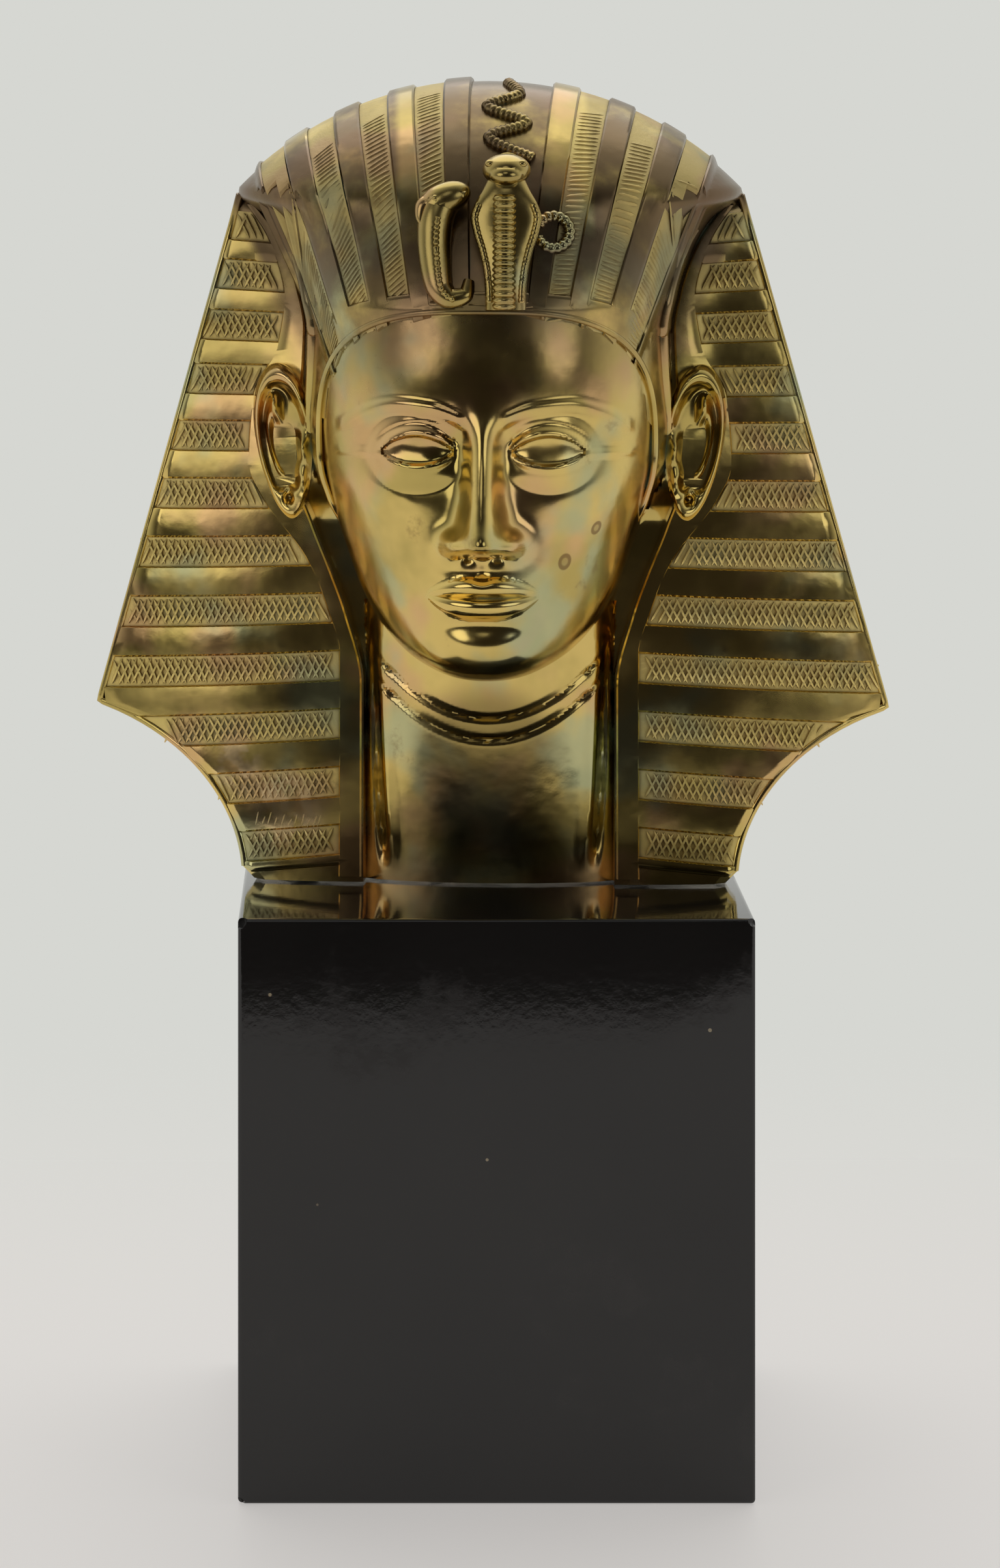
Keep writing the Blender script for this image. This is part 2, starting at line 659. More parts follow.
def brow_band():
    """The smooth border over the forehead that the stripes run down to."""
    rings = []
    stations = 110
    for i in range(stations + 1):
        across = RIM_END * math.sin(math.pi / 2 * (2 * i / stations - 1))
        proud = BAND_RISE * (1 - 1.25 * ramp(27, RIM_END, abs(across)))
        low, high = rim_height(abs(across)), rim_top(abs(across))
        stops = [(low, -3.2), (low + 0.1, proud * 0.8), (low + 0.6, proud)]
        stops += [(low + 0.6 + (high - low - 0.9) * k / 6, proud) for k in range(1, 6)]
        stops += [(high - 0.3, proud), (high + 0.05, proud * 0.6), (high + 0.25, -BAND_ROOT)]
        rings.append([Vector((across, -(head_forward(abs(across), z) + lift), z)) for z, lift in stops])
    return skin(rings)


def opening_rim():
    """The thin rounded edge of the cloth round forehead and temples."""
    turns = steps(0, math.pi / 2, 90)
    brow = [(RIM_HALF * math.cos(t) ** (2 / 3), RIM_WAIST + (RIM_Z - RIM_WAIST) * math.sin(t) ** (2 / 3))
            for t in turns[1:-1]]
    side = [(opening(z), z) for z in steps(RIM_FOOT, RIM_WAIST, 40)[:-1]]
    right = side + brow
    places = right + [(0, RIM_Z)] + [(-across, z) for across, z in reversed(right)]
    path = [Vector((x, -(head_forward(abs(x), z) + BAND_RISE * 0.6), z)) for x, z in places]
    return tube(path, RIM_RADIUS, sides=10)


ROLL_LOW, ROLL_HIGH, ROLL_STATIONS = 82, 132.0, 100


def rolled_edge(sign):
    """The rolled edge of the crown, from its corner down to the front of the ear."""
    path, radii = [], []
    for z in steps(ROLL_LOW, ROLL_HIGH, ROLL_STATIONS):
        across = cloth_edge(z) - 2.3
        sunk = 0.7 + 0.9 * ramp(112, 130, z)
        path.append(Vector((sign * across, -front_forward(across, z) + sunk, z)))
        radii.append(0.5 + 0.9 * ramp(ROLL_LOW, 100, z) * (1 - 0.5 * ramp(116, ROLL_HIGH, z)))
    return tube(path, radii, sides=12)


def stripe_edges():
    """Leaning angles of the raised stripes, and of the recessed ones between them."""
    width, gap, outermost = 2.55, 2.65, 1.4
    raised, recessed = [], []
    for side, first, count in ((-1, 1.5, 4), (1, 5.7, 3)):
        for k in range(count):
            start = first + k * (width + gap)
            raised.append(sorted((side * start, side * (start + width))))
            recessed.append(sorted((side * (start + width), side * (start + width + gap))))
        last = first + count * (width + gap)
        raised.append(sorted((side * last, side * (last + outermost))))
    return raised, recessed


# Ears

EAR_X, EAR_Z, EAR_HALF_WIDTH, EAR_HALF_HEIGHT, EAR_TILT = 41.4, 88.8, 6.9, 15.8, math.radians(6)
EAR_FORWARD = 3.4


def ear_height(u, v):
    """Relief of the ear; u runs from its front to its back and v from lobe to top, both -1 to 1."""
    share = math.hypot(u, v)
    front = ramp(0.15, 0.75, -u) * (1 - ramp(0.10, 0.50, v))
    height = 2.8 - 3.3 * u + 0.8 * v
    height += 3.6 * ridge(share - 0.86, 0.13, 2.6) * (1 - 0.9 * front)
    height += 2.0 * ridge(share - 0.50, 0.13) * ramp(-0.25, 0.25, u) * ramp(-0.62, -0.35, v)
    branch = ramp(0.15, 0.35, v) * (1 - ramp(0.55, 0.75, v))
    height += 1.5 * ridge(u - 0.10 - 0.35 * (v - 0.35), 0.15) * branch
    height -= 1.4 * mound(u + 0.20, v + 0.12, 0.26, 0.28)
    height += 3.0 * mound(u + 0.66, v + 0.10, 0.18, 0.16)
    height += 1.6 * mound(u + 0.52, v + 0.42, 0.22, 0.14)
    lobe = ramp(0.50, 0.72, -v)
    height += lobe * (5.4 - 2.6 * u - height) * (1 - ramp(0.88, 1.0, share))
    height -= 2.6 * mound(u - 0.02, v + 0.73, 0.16, 0.075)
    return height


def ear(sign):
    segments, steps = 84, 36
    rings = []
    for i in range(steps + 1):
        share = 1.0 - 0.97 * max(0, i - 1) / (steps - 1)
        ring = []
        for k in range(segments):
            turn = 2 * math.pi * k / segments
            u, v = share * math.cos(turn), share * math.sin(turn)
            p = EAR_HALF_WIDTH * u * (0.86 + 0.14 * math.sin(turn))
            q = EAR_HALF_HEIGHT * v
            across = EAR_X + p * math.cos(EAR_TILT) + q * math.sin(EAR_TILT)
            z = EAR_Z + q * math.cos(EAR_TILT) - p * math.sin(EAR_TILT)
            height = ear_height(u, v) if i else -1.5
            ring.append((across, -(EAR_FORWARD + height), z))
        rings.append(mirrored(ring, sign))
    return skin(rings, Vector((sign * EAR_X, -(EAR_FORWARD + ear_height(0, 0)), EAR_Z)))


# Cobra and vulture over the brow

COBRA_X = 4.6
LOOP_X, LOOP_Z, LOOP_RADIUS = 13.6, 132.2, 3.1
BELLY_LOW, BELLY_HIGH = 117.8, 139.5

# Stops: height, half width, half thickness, and how far forward
HOOD = [(117.6, 3.9, 2.0, 1.8), (121, 4.0, 2.3, 2.6), (125, 4.4, 2.4, 3.3), (129, 5.3, 2.4, 4.3),
        (132.5, 6.4, 2.1, 5.6), (135.2, 6.9, 2.0, 6.6), (137.6, 6.2, 2.1, 7.6), (140.5, 4.6, 2.4, 8.7),
        (142.8, 3.5, 2.6, 9.4)]

# Stops: height, how far forward, and radius
COBRA_BACK = [(118, 0, 2.8), (122, 0.8, 2.7), (128, 1.8, 2.6), (135, 3.2, 2.7), (141, 4, 2.8), (146, 3, 2.4)]

# Stops: across and height
TAIL = [(9.5, 146.3), (0.8, 150.4), (7.9, 153.2), (0.2, 156.4), (6.3, 158.9), (3.9, 161.0)]
VULTURE_BROW = [(-3.4, 139.6), (-7, 140.5), (-10.4, 138.6)]
LEDGE = [(-10, 118.4), (-3, 117.9), (4, 117.7), (9.6, 118.3)]

# Stops: across, height, how far forward, and radius
VULTURE_NECK = [(-2.6, 123.0, 0.6, 1.1), (-3.2, 120.4, 0.8, 1.6), (-5.8, 119.6, 0.9, 2.1),
                (-8.2, 121.6, 1.1, 2.7), (-9.0, 125.5, 1.7, 3.1), (-9.4, 130.5, 3.0, 3.3),
                (-9.2, 134.5, 4.2, 3.5), (-8.2, 138.0, 4.8, 3.7)]
VULTURE_HEAD = (-7.4, 138.7, 5.6)
VULTURE_BEAK = [(-9.8, 138.2, 5.8, 2.0), (-11.6, 137.2, 6.4, 1.6), (-12.0, 135.2, 6.2, 1.0),
                (-11.2, 133.4, 5.8, 0.35)]


def on_dome(across, z, lift):
    return Vector((across, -(head_forward(abs(across), z) + lift), z))


def beaded(path, radius, pitch, depth, sides=10):
    """A round bar with a bead every pitch along it."""
    travelled = [0.0]
    for before, after in zip(path, path[1:]):
        travelled.append(travelled[-1] + (after - before).length)
    radii = [radius * (1 - depth + depth * abs(math.sin(math.pi * s / pitch))) for s in travelled]
    return tube(path, radii, sides=sides)


def hood():
    rings = []
    for z, wide, thick, lift in through(HOOD, 46):
        centre = on_dome(COBRA_X, z, lift)
        rings.append(oval_ring(centre, wide, thick, 32))
    return skin(rings)


def hood_size(column, z):
    return smooth_path([(stop[0], stop[column]) for stop in HOOD], z)


def hood_front(across, z, lift):
    """A point in front of the cobra's hood, given by its way across from the middle, up and forward."""
    wide, thick, stand = (hood_size(column, z) for column in (1, 2, 3))
    return on_dome(COBRA_X, z, stand + oval(thick, across, wide) + lift) + Vector((across, 0, 0))


def emblem():
    """Hooded cobra with its coiled tail, and the vulture's head and neck beside it."""
    pieces = [hood()]
    column = [hood_front(-0.3, z, -0.9) for z in steps(BELLY_LOW, BELLY_HIGH, 160)]
    pieces.append(beaded(column, 2.4, 1.15, depth=0.16, sides=18))
    for side in (-1, 1):
        rim = [hood_front(side * (hood_size(1, z) - 0.9), z, 0.0) for z in steps(119, 138, 60)]
        pieces.append(beaded(rim, 0.75, 0.9, depth=0.2))
    head = on_dome(COBRA_X, 144.4, 10.4)
    pieces += [ball(head, (4.7, 5.6, 3.2)), ball(head + Vector((0, -3.2, -0.9)), (3.3, 3.2, 2.1))]
    for side in (-1, 1):
        pieces.append(ball(head + Vector((side * 3.1, -3.0, 1.3)), (1.0, 1.0, 0.8)))
    back = [on_dome(COBRA_X, z, lift) for z, lift, _ in COBRA_BACK]
    pieces.append(tube(back, [radius for *_, radius in COBRA_BACK], sides=16))
    tail = [on_dome(x, z, 0.5) for x, z in through(TAIL, 220)]
    pieces.append(beaded(tail, 1.35, 1.1, depth=0.2))
    turns = [math.radians(degrees) for degrees in steps(160, -160, 90)]
    loop = [on_dome(LOOP_X + LOOP_RADIUS * math.cos(t), LOOP_Z + LOOP_RADIUS * math.sin(t), 0.6)
            for t in turns]
    pieces.append(beaded(loop, 1.25, 1.2, depth=0.2))
    neck = through(VULTURE_NECK, 90)
    pieces.append(tube([on_dome(*stop[:3]) for stop in neck], [stop[3] for stop in neck], sides=14))
    beads = [on_dome(x + r * 0.15, z, lift + r - 0.3) for x, z, lift, r in neck[24:80]]
    pieces.append(beaded(beads, 0.7, 1.0, depth=0.5))
    crown = on_dome(*VULTURE_HEAD)
    pieces.append(ball(crown, (5.3, 3.6, 3.2), math.radians(-22)))
    pieces.append(ball(crown + Vector((-1.7, -2.7, 0.3)), (0.8, 0.8, 0.7)))
    brow = [on_dome(x, z, 8.0) for x, z in through(VULTURE_BROW, 20)]
    pieces.append(tube(brow, 0.7, sides=8))
    beak = through(VULTURE_BEAK, 24)
    pieces.append(tube([on_dome(*stop[:3]) for stop in beak], [stop[3] for stop in beak]))
    ledge = [on_dome(x, z, 0.2) for x, z in through(LEDGE, 30)]
    pieces.append(tube(ledge, 0.9, sides=10))
    return pieces


QUEUE_LOW, QUEUE_HIGH, QUEUE_STATIONS, QUEUE_PITCH, QUEUE_WRAP = 0.6, 66, 130, 5.2, 0.7


def queue():
    """The gathered end of the cloth, wrapped in rings, down the back."""
    rings = []
    for i, z in enumerate(steps(QUEUE_LOW, QUEUE_HIGH, QUEUE_STATIONS)):
        share = i / QUEUE_STATIONS
        wrap = QUEUE_WRAP * abs(math.sin(math.pi * z / QUEUE_PITCH)) ** 0.5
        round_end = math.sqrt(max(0.02, 1 - max(0, (share - 0.93) / 0.07) ** 2))
        wide = (6.3 + 3.2 * share + wrap) * round_end
        swell = (4.2 + wrap) * round_end
        middle = back_depth(0, z) - 1.0
        rings.append(oval_ring(Vector((0, middle, z)), wide, swell, 28))
    return skin(rings)


# Chasing: matte grounds with short raised strokes

STROKE_PITCH, STROKE_SLANT, STROKE_WIDTH = 1.5, 2.5, 0.68
DOME_PITCH, CROSSED_PITCH, CROSSED_END, DOME_CHASED_END = 1.05, 1.35, 34, 84
GROUND_LAST, GROUND_STATIONS, GROUND_SWELL = 198, 160, 1.7
MARK_FROM, MARK_TO, MARK_Z = 34.5, 47.5, 11.2


def add_stroke(bm, start, end, out, width, height):
    """A small ridge between two points of a surface, with tapered ends."""
    along = end - start
    sideways = along.cross(out).normalized() * width / 2
    rings = []
    for share, size in ((0, 0.35), (0.18, 1), (0.82, 1), (1, 0.35)):
        middle = start + along * share
        rings.append([
            middle - sideways * size - out * 0.25,
            middle - sideways * size * 0.55 + out * height * size,
            middle + sideways * size * 0.55 + out * height * size,
            middle + sideways * size - out * 0.25,
        ])
    add_skin(bm, rings)


def wing_chasing(bm, sign, k):
    high = band_top(k)
    low = high - HATCH_HEIGHT
    add_skin(bm, [band_ring(sign, low, high, share, -0.4, GROUND_PROFILE, 1.2) for share in steps(0, 1, 24)])
    out = Vector((0, -1, 0))
    for lean in (-1, 1):
        across = min(border_edge(low), border_edge(high)) + 1.0
        end = band_end((low + high) / 2) - 1.6
        while across < end:
            slant = lean * (STROKE_SLANT + draw.uniform(-0.35, 0.35))
            foot = across - slant / 2 + draw.uniform(-0.12, 0.12)
            head = across + slant / 2 + draw.uniform(-0.12, 0.12)
            lowest = low + 0.35 + draw.uniform(0, 0.3)
            highest = high - 0.3 - draw.uniform(0, 0.3)
            if foot > border_edge(lowest) + 0.2 and head > border_edge(highest) + 0.2:
                ends = [on_wing(x, fan_line(level, x), 0) for level, x in ((lowest, foot), (highest, head))]
                add_stroke(bm, *mirrored(ends, sign), out, STROKE_WIDTH, STROKE_WIDTH)
            across += STROKE_PITCH * draw.uniform(0.92, 1.08)


def dome_ground(middle, climb):
    """Height of a recess's ground over the dome, greater where the outer recesses bend into the sides."""
    beside = ramp(8, 16, abs(middle))
    level = ridge(dome_point(middle, climb, 0).z - CORNER_Z + 2, 7, 4)
    return DOME_GROUND * (1 + GROUND_SWELL * beside * level)


def dome_chasing(bm, left, right):
    middle = (left + right) / 2
    rings = []
    for climb in steps(STRIPE_FIRST, GROUND_LAST, GROUND_STATIONS):
        ground = dome_ground(middle, climb)
        rings.append([dome_point(lean, climb, lift) for lean, lift in
                      ((left, -0.6), (left, ground), (middle, ground), (right, ground), (right, -0.6))])
    add_skin(bm, rings)
    climb = STRIPE_FIRST + 3.0
    last = DOME_CHASED_END - 0.7 * abs(middle)
    while climb < last:
        crossed = climb < CROSSED_END
        for lean in ((-1, 1) if crossed else (1,)):
            tilt = lean * draw.uniform(0.5, 0.9)
            a = dome_point(left + 0.25, climb - tilt, dome_ground(middle, climb - tilt) - 0.05)
            b = dome_point(right - 0.25, climb + tilt, dome_ground(middle, climb + tilt) - 0.05)
            out = (a - Vector((0, 0, 85))).normalized()
            add_stroke(bm, a, b, out, 0.5, 0.42 - 0.26 * ramp(50, DOME_CHASED_END, climb))
        climb += (CROSSED_PITCH if crossed else DOME_PITCH) * draw.uniform(0.9, 1.1)


def mark_strokes(bm):
    """A row of short shallow slanted strokes on the lowest smooth band of the left side panel."""
    across = MARK_FROM
    while across < MARK_TO:
        foot = MARK_Z + draw.uniform(-0.3, 0.3)
        head = foot + draw.uniform(1.4, 2.6)
        slant = draw.uniform(0.5, 0.9)
        ends = [on_wing(x, z, 0.95) for x, z in ((across, foot), (across - slant, head))]
        add_stroke(bm, *mirrored(ends, -1), Vector((0, -1, 0)), 0.34, 0.16)
        across += draw.uniform(0.9, 1.5)


# Materials


class Nodes:
    """The nodes of a material or of the world, and the place at which they are read."""

    def __init__(self, tree, coordinates="Object"):
        self.tree = tree
        self.place = self.add("ShaderNodeTexCoord").outputs[coordinates]

    def add(self, kind, **numbers):
        node = self.tree.nodes.new(kind)
        for key, number in numbers.items():
            node.inputs[key].default_value = number
        return node

    def join(self, value, socket):
        """Puts a number, a colour or another node's output on a socket."""
        if isinstance(value, (int, float)):
            socket.default_value = value
        elif isinstance(value, tuple):
            socket.default_value = (*value, 1)
        else:
            self.tree.links.new(value, socket)

    def noise(self, scale, detail=3.0, roughness=0.55):
        node = self.add("ShaderNodeTexNoise", Scale=scale, Detail=detail, Roughness=roughness)
        self.join(self.place, node.inputs["Vector"])
        return node.outputs["Fac"]

    def between(self, value, low, high, to_low=0.0, to_high=1.0):
        reach = {"From Min": low, "From Max": high, "To Min": to_low, "To Max": to_high}
        node = self.add("ShaderNodeMapRange", **reach)
        node.interpolation_type = "SMOOTHSTEP"
        self.join(value, node.inputs["Value"])
        return node.outputs["Result"]

    def calc(self, kind, a, b):
        node = self.add("ShaderNodeMath")
        node.operation = kind
        self.join(a, node.inputs[0])
        self.join(b, node.inputs[1])
        return node.outputs[0]

    def times(self, a, b):
        return self.calc("MULTIPLY", a, b)

    def blend(self, amount, first, second):
        node = self.add("ShaderNodeMix")
        node.data_type = "RGBA"
        self.join(amount, node.inputs["Factor"])
        colours = [socket for socket in node.inputs if socket.type == "RGBA"]
        self.join(first, colours[0])
        self.join(second, colours[1])
        return [socket for socket in node.outputs if socket.type == "RGBA"][0]

    def tint(self, colour, mask, strength, second):
        """The colour, going over to a second one where the mask is high."""
        return self.blend(self.times(mask, strength), colour, second)

    def near(self, point, radius_low, radius_high):
        """1 close to a point, falling to 0."""
        node = self.add("ShaderNodeVectorMath")
        node.operation = "DISTANCE"
        self.join(self.place, node.inputs[0])
        node.inputs[1].default_value = point
        return self.between(node.outputs["Value"], radius_low, radius_high, 1.0, 0.0)

    def split(self, vector):
        node = self.add("ShaderNodeSeparateXYZ")
        self.join(vector, node.inputs[0])
        return node.outputs

    def bumps(self, shader, height, strength, distance):
        node = self.add("ShaderNodeBump", Strength=strength, Distance=distance)
        self.join(height, node.inputs["Height"])
        self.join(node.outputs["Normal"], shader.inputs["Normal"])


def new_material(name):
    """A material with its nodes and its shader."""
    made = bpy.data.materials.new(name)
    made.use_nodes = True
    return made, Nodes(made.node_tree), made.node_tree.nodes["Principled BSDF"]


HOLLOW_SAMPLES = 6
EMBLEM_HALF = 0.018

# Tarnish from one height above the plinth to another, in metres
TARNISH_LOW, TARNISH_HIGH = 0.090, 0.128
TARNISH_LEAN, TARNISH_KEPT = 112, 0.25

# Stains as (across, height, size) or (across, forward, height, size), in parts of the bust
RING_STAINS = ((21.9, 74.3, 1.3), (15.8, 68.0, 1.5))
RUBBED_PATCHES = ((-41, 14.3, 9.0), (-51, 23.0, 6.0))
NECK_SHADOWS = ((0, -16.0, 26.0, 17.0), (0, -15.0, 12.0, 16.0))

# Looks of the two finishes
CHASED_LOOK = {"metal": 0.58, "rough": (0.38, 0.52), "grain": (1500, 0.35), "reach": 0.0009,
               "hollow": (0.42, 0.95), "shade": 0.66, "patina": 0.3, "tarnish": 0.45}
POLISHED_LOOK = {"metal": 1.0, "rough": (0.13, 0.27), "grain": (900, 0.035), "reach": 0.0014,
                 "hollow": (0.20, 0.70), "shade": 0.5, "patina": 0.75, "tarnish": 0.9}

# Colours
GOLD = (0.79, 0.585, 0.19)
CHASED_GOLD = (1.0, 0.79, 0.29)
CHASED_OLIVE = (0.93, 0.73, 0.24)
OLIVE_GOLD = (0.55, 0.425, 0.13)
BROWN = (0.20, 0.115, 0.045)
PLUM = (0.135, 0.088, 0.058)
DARK_NECK = (0.045, 0.030, 0.012)
ROSE = (0.78, 0.46, 0.24)
SEA_GREEN = (0.42, 0.51, 0.33)
VERDIGRIS = (0.16, 0.30, 0.235)
RUBBED_COPPER = (0.95, 0.72, 0.40)
BLACK, CHARCOAL = (0.0075, 0.0068, 0.0065), (0.016, 0.0145, 0.0135)
PALE_GRAIN, SMEAR = (0.42, 0.34, 0.22), (0.03, 0.026, 0.024)
PAPER = ((0.350, 0.338, 0.328), (0.364, 0.351, 0.341))
PALE_ROOM, DARK_ROOM = (0.672, 0.679, 0.645), (0.022, 0.019, 0.017)


def bust_point(x, y, z):
    return BUST_FRAME @ Vector((x, y, z))


def proud_of_dome(nodes, axes):
    """1 on what stands out in front of the dome, 0 on the dome and its stripes."""
    centre = bust_point(0, 0, DOME_FRONT_CENTRE)
    total = 0.0
    for axis, k, reach in (("X", 0, 50.0), ("Y", 1, DOME_FRONT), ("Z", 2, DOME_TOP - DOME_FRONT_CENTRE)):
        share = nodes.calc("DIVIDE", nodes.calc("SUBTRACT", axes[axis], centre[k]), reach * PART)
        total = nodes.calc("ADD", nodes.times(share, share), total)
    near = nodes.between(nodes.calc("ABSOLUTE", axes["X"], 0.0), EMBLEM_HALF, EMBLEM_HALF + 0.002, 1.0, 0.0)
    return nodes.times(nodes.between(total, 1.045, 1.07), near)


def gilt(name, chased):
    """Gilt bronze: worn gold with brown tarnish, faint colours of heat and green in the crevices."""
    made, nodes, shader = new_material(name)
    axes = nodes.split(nodes.place)
    height = axes["Z"]
    base = (CHASED_OLIVE, CHASED_GOLD) if chased else (OLIVE_GOLD, GOLD)
    look = CHASED_LOOK if chased else POLISHED_LOOK
    colour = nodes.blend(nodes.between(nodes.noise(34, 4), 0.40, 0.62), *base)
    colour = nodes.tint(colour, nodes.between(nodes.noise(52, 2), 0.50, 0.66), 0.6, ROSE)
    colour = nodes.tint(colour, nodes.between(nodes.noise(41, 3), 0.53, 0.68), 0.6, SEA_GREEN)
    top = PLINTH_HIGH[2]
    tarnish = nodes.between(height, top + TARNISH_LOW, top + TARNISH_HIGH)
    aside = nodes.calc("ABSOLUTE", axes["X"], 0.0)
    leaning = nodes.times(nodes.calc("SUBTRACT", height, top + TARNISH_LEAN * PART), 0.5)
    beside = nodes.calc("SUBTRACT", aside, leaning)
    tarnish = nodes.times(tarnish, nodes.between(beside, 38.5 * PART, 41.5 * PART, 1.0, TARNISH_KEPT))
    tarnish = nodes.times(tarnish, nodes.between(nodes.noise(60, 5), 0.18, 0.52))
    tarnish = nodes.times(tarnish, look["tarnish"])
    emblem = proud_of_dome(nodes, axes)
    tarnish = nodes.times(tarnish, nodes.calc("SUBTRACT", 1.0, nodes.times(emblem, 0.6)))
    colour = nodes.blend(tarnish, colour, PLUM)
    for x, y, z, size in NECK_SHADOWS:
        middle = nodes.near(bust_point(x, y, z), size * 0.0006, size * 0.0011)
        colour = nodes.tint(colour, middle, 0.55, DARK_NECK)
    spots = nodes.between(nodes.noise(95, 6, 0.7), 0.60, 0.74)
    colour = nodes.tint(colour, spots, 0.45, BROWN)
    hollow = nodes.add("ShaderNodeAmbientOcclusion", Distance=look["reach"])
    hollow.samples = HOLLOW_SAMPLES
    hollow.only_local = False
    deep = nodes.between(hollow.outputs["AO"], *look["hollow"], 1.0, 0.0)
    plain = nodes.calc("SUBTRACT", 1.0, nodes.times(emblem, 0.75))
    colour = nodes.tint(colour, deep, nodes.times(plain, look["shade"]), BROWN)
    patina = nodes.times(deep, nodes.between(nodes.noise(75, 4), 0.50, 0.66))
    colour = nodes.tint(colour, patina, look["patina"], VERDIGRIS)
    if not chased:
        for x, z, size in RING_STAINS:
            centre = bust_point(x, -face_surface(x, z), z)
            rim = nodes.near(centre, size * 0.001, size * 0.00125)
            middle = nodes.near(centre, size * 0.0004, size * 0.0007)
            ring = nodes.calc("SUBTRACT", rim, nodes.times(middle, 0.6))
            colour = nodes.tint(colour, ring, 0.75, BROWN)
    for x, z, size in RUBBED_PATCHES:
        centre = bust_point(x, -wing_forward(abs(x), z) - BAND_RISE, z)
        worn = nodes.near(centre, size * 0.0005, size * 0.0011)
        worn = nodes.times(worn, nodes.between(nodes.noise(260, 3), 0.36, 0.5))
        colour = nodes.tint(colour, worn, 0.7, RUBBED_COPPER)
    nodes.join(colour, shader.inputs["Base Color"])
    metal = nodes.calc("SUBTRACT", look["metal"], nodes.times(patina, 0.6))
    nodes.join(metal, shader.inputs["Metallic"])
    rough = nodes.between(nodes.noise(48, 5), 0.35, 0.7, *look["rough"])
    rough = nodes.calc("ADD", rough, nodes.times(tarnish, 0.12))
    rough = nodes.calc("ADD", rough, nodes.times(patina, 0.3))
    nodes.join(rough, shader.inputs["Roughness"])
    wave = nodes.times(nodes.noise(130, 2), 0.55)
    scale, strength = look["grain"]
    grain = nodes.times(nodes.noise(scale, 3), strength)
    nodes.bumps(shader, nodes.calc("ADD", wave, grain), 1.0, 0.00022)
    return made


def black_stone():
    """Black polished stone with faint smears and a few pale grains."""
    made, nodes, shader = new_material("black_stone")
    colour = nodes.blend(nodes.noise(30, 5), BLACK, CHARCOAL)
    cells = nodes.add("ShaderNodeTexVoronoi", Scale=95, Randomness=1.0)
    nodes.join(nodes.place, cells.inputs["Vector"])
    dot = nodes.between(cells.outputs["Distance"], 0.028, 0.042, 1.0, 0.0)
    rare = nodes.between(nodes.split(cells.outputs["Color"])["X"], 0.58, 0.85)
    grains = nodes.times(nodes.times(dot, rare), 0.75)
    colour = nodes.blend(grains, colour, PALE_GRAIN)
    smear = nodes.between(nodes.noise(22, 7, 0.65), 0.56, 0.72)
    colour = nodes.tint(colour, smear, 0.5, SMEAR)
    nodes.join(colour, shader.inputs["Base Color"])
    nodes.join(nodes.calc("ADD", 0.07, nodes.times(smear, 0.16)), shader.inputs["Roughness"])
    nodes.bumps(shader, nodes.noise(420, 4), 0.35, 0.00004)
    return made


def pale_floor():
    """A pale paper sheet that melts into the paper behind it."""
    made, nodes, shader = new_material("pale_floor")
    axes = nodes.split(nodes.place)
    colour = nodes.blend(nodes.noise(2.0, 3), *PAPER)
    nodes.join(colour, shader.inputs["Base Color"])
    nodes.join(colour, shader.inputs["Emission Color"])
    shader.inputs["Emission Strength"].default_value = 1.22
    shader.inputs["Roughness"].default_value = 0.6
    fade = nodes.between(axes["Y"], FADE_FROM, FLOOR_BACK, 1.0, 0.0)
    nodes.join(fade, shader.inputs["Alpha"])
    return made


# The pieces


def applied(name, body, used):
    """A plain object with the body's modifiers applied; the body and what they used are removed."""
    depsgraph = bpy.context.evaluated_depsgraph_get()
    mesh = bpy.data.meshes.new_from_object(body.evaluated_get(depsgraph))
    for piece in used + [body]:
        bpy.data.objects.remove(piece, do_unlink=True)
    return placed(name, mesh)


def united(name, body, additions):
    """The body and all that stands on it as one closed mesh."""
    group = bpy.data.collections.new(name + "_additions")
    bpy.context.scene.collection.children.link(group)
    for piece in additions:
        bpy.context.scene.collection.objects.unlink(piece)
        group.objects.link(piece)
    union = body.modifiers.new("union", "BOOLEAN")
    union.operation = "UNION"
    union.solver = "MANIFOLD"
    union.operand_type = "COLLECTION"
    union.collection = group
    made = applied(name, body, additions)
    bpy.data.collections.remove(group)
    return made


def dress(mesh, material, angle):
    mesh.materials.clear()
    mesh.materials.append(material)
    mesh.shade_smooth()
    mesh.set_sharp_from_angle(angle=math.radians(angle))


def finish_mesh(obj, material, angle):
    obj.data.transform(BUST_FRAME)
    dress(obj.data, material, angle)
    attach(obj, "root")
    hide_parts("bust")


def build_bust():
    raised, recessed = stripe_edges()
    body = skin([body_ring(z) for z in body_rows()], Vector((0, 0, DOME_TOP)))
    additions = [face(), brow_band(), opening_rim(), queue()] + emblem()
    for sign in (-1, 1):
        additions.append(wing_band(sign, FOOT_BAND_LOW, band_top(0) - HATCH_HEIGHT))
        for k in range(BAND_COUNT):
            additions.append(wing_band(sign, band_top(k), band_top(k + 1) - HATCH_HEIGHT))
        additions += [border_strip(sign), outer_edge(sign), rolled_edge(sign), ear(sign)]
    for left, right in raised:
        melt = -1 if left < OUTERMOST_LEFT else 1 if right > OUTERMOST_RIGHT else 0
        additions.append(dome_stripe(left, right, melt))
    bust = united("bust_casting", body, additions)
    finish_mesh(bust, gilt("gilt_polished", False), 40)

    bm = bmesh.new()
    for sign in (-1, 1):
        for k in range(BAND_COUNT + 1):
            wing_chasing(bm, sign, k)
    for left, right in recessed:
        dome_chasing(bm, left, right)
    mark_strokes(bm)
    chasing = mesh_object(bm, "bust_chasing")
    finish_mesh(chasing, gilt("gilt_chased", True), 50)


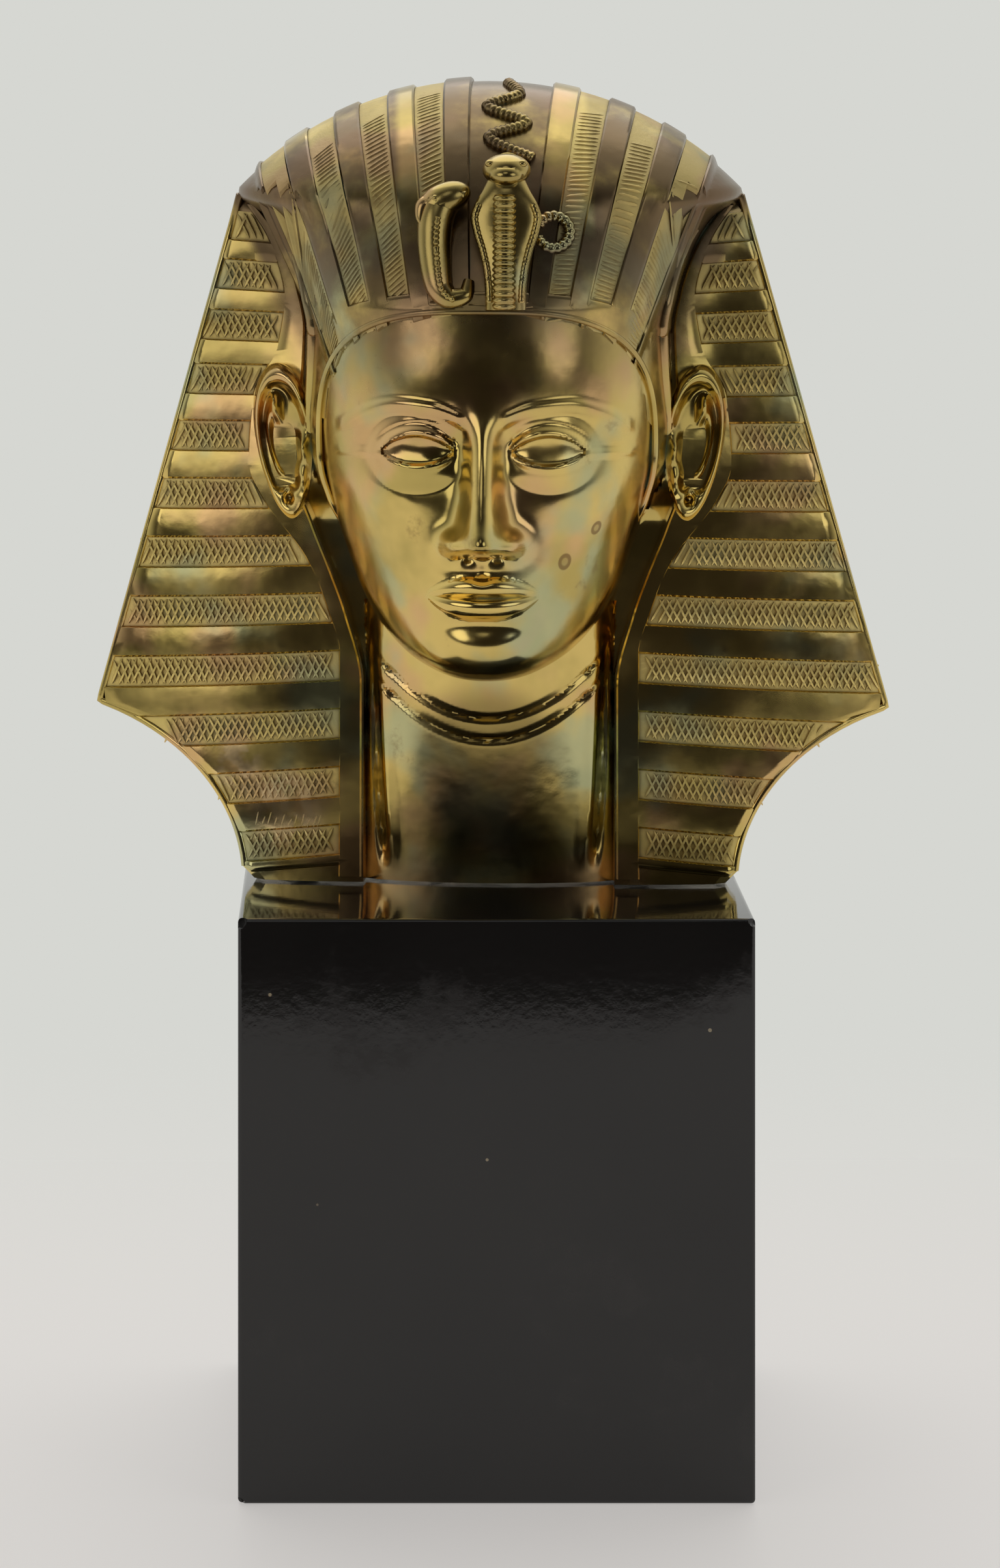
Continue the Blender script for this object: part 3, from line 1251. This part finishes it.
def build_plinth():
    """The stone block, with small chips at three corners."""
    low, high = Vector(PLINTH_LOW), Vector(PLINTH_HIGH)
    size = high - low
    bm = bmesh.new()
    bmesh.ops.create_cube(bm, size=1.0)
    scale = Matrix.Diagonal((*size, 1))
    bmesh.ops.transform(bm, matrix=Matrix.Translation((low + high) / 2) @ scale, verts=bm.verts)
    bmesh.ops.bevel(bm, geom=bm.edges[:], offset=PLINTH_BEVEL, segments=4, affect="EDGES", profile=0.5)
    block = mesh_object(bm, "block")
    chipped = ((low.x, low.y, high.z), (high.x, low.y, high.z), (low.x, low.y, low.z))
    cutters = []
    for corner, radius in zip(chipped, CHIP_RADII):
        chip = bmesh.new()
        bmesh.ops.create_icosphere(chip, subdivisions=2, radius=radius)
        for vert in chip.verts:
            vert.co *= draw.uniform(0.82, 1.1)
        bmesh.ops.transform(chip, matrix=Matrix.Translation(corner), verts=chip.verts)
        cutters.append(mesh_object(chip))
    for cutter in cutters:
        cut = block.modifiers.new("chip", "BOOLEAN")
        cut.operation = "DIFFERENCE"
        cut.solver = "EXACT"
        cut.object = cutter
    plinth = applied("plinth_block", block, cutters)
    dress(plinth.data, black_stone(), 35)
    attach(plinth, "root")
    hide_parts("plinth")


def build_camera():
    data = bpy.data.cameras.new("camera")
    camera = placed("camera", data)
    bpy.context.scene.camera = camera
    px_per_metre = PLINTH_PX / (PLINTH_HIGH[0] - PLINTH_LOW[0])
    focal_px = px_per_metre * CAMERA_DISTANCE
    data.sensor_width = LONG_SIDE_MM
    data.sensor_fit = "AUTO"
    data.lens = focal_px / IMAGE_HEIGHT * LONG_SIDE_MM
    data.shift_x = (IMAGE_WIDTH / 2 - VANISH_X) / IMAGE_HEIGHT
    data.shift_y = (HORIZON_Y - IMAGE_HEIGHT / 2) / IMAGE_HEIGHT
    x = (VANISH_X - PLINTH_MIDDLE_PX) / px_per_metre
    z = PLINTH_HIGH[2] + (PLINTH_TOP_PX - HORIZON_Y) / px_per_metre
    camera.location = (x, PLINTH_LOW[1] - CAMERA_DISTANCE, z)
    camera.rotation_euler = (math.pi / 2, 0, 0)
    data.clip_start = 0.01
    data.clip_end = 50


# Round lights: place and size in metres, radiance and tint
LIGHTS = (
    ("left", (-0.76, -0.82, 0.46), 0.74, 1.2, (1.0, 0.985, 0.95)),
    ("right", (0.80, -0.79, 0.44), 0.66, 1.0, (0.97, 0.985, 1.0)),
    ("front", (-0.10, -0.95, 0.95), 0.50, 0.6, (1.0, 1.0, 1.0)),
    ("top", (0.0, 0.60, 1.20), 1.30, 1.0, (1.0, 1.0, 1.0)),
)
AIM_Z = 0.19


def build_light():
    scene = bpy.context.scene
    world = bpy.data.worlds.new("studio")
    scene.world = world
    world.use_nodes = True
    nodes = Nodes(world.node_tree, "Generated")
    background = world.node_tree.nodes["Background"]
    dark = nodes.between(nodes.split(nodes.place)["Y"], -0.62, 0.30, 1.0, 0.0)
    nodes.join(nodes.blend(dark, PALE_ROOM, DARK_ROOM), background.inputs["Color"])
    for name, place, size, radiance, tint in LIGHTS:
        data = bpy.data.lights.new(name, "AREA")
        data.shape = "DISK"
        data.size = size
        data.energy = radiance * (math.pi * size / 2) ** 2
        data.color = tint
        light = placed(name, data)
        light.location = place
        aim = Vector((0, 0, AIM_Z)) - Vector(place)
        light.rotation_euler = aim.to_track_quat("-Z", "Y").to_euler()
    bm = bmesh.new()
    bmesh.ops.create_grid(bm, x_segments=1, y_segments=1, size=1.0)
    stretch = Matrix.Diagonal((FLOOR_HALF_WIDTH, (FLOOR_BACK - FLOOR_FRONT) / 2, 1, 1))
    middle = Matrix.Translation((0, (FLOOR_BACK + FLOOR_FRONT) / 2, PLINTH_LOW[2] - FLOOR_DROP))
    bmesh.ops.transform(bm, matrix=middle @ stretch, verts=bm.verts)
    floor = mesh_object(bm, "floor")
    floor.data.materials.append(pale_floor())
    scene.view_settings.view_transform = "Standard"
    scene.view_settings.look = "None"


build_camera()
build_light()
build_plinth()
build_bust()
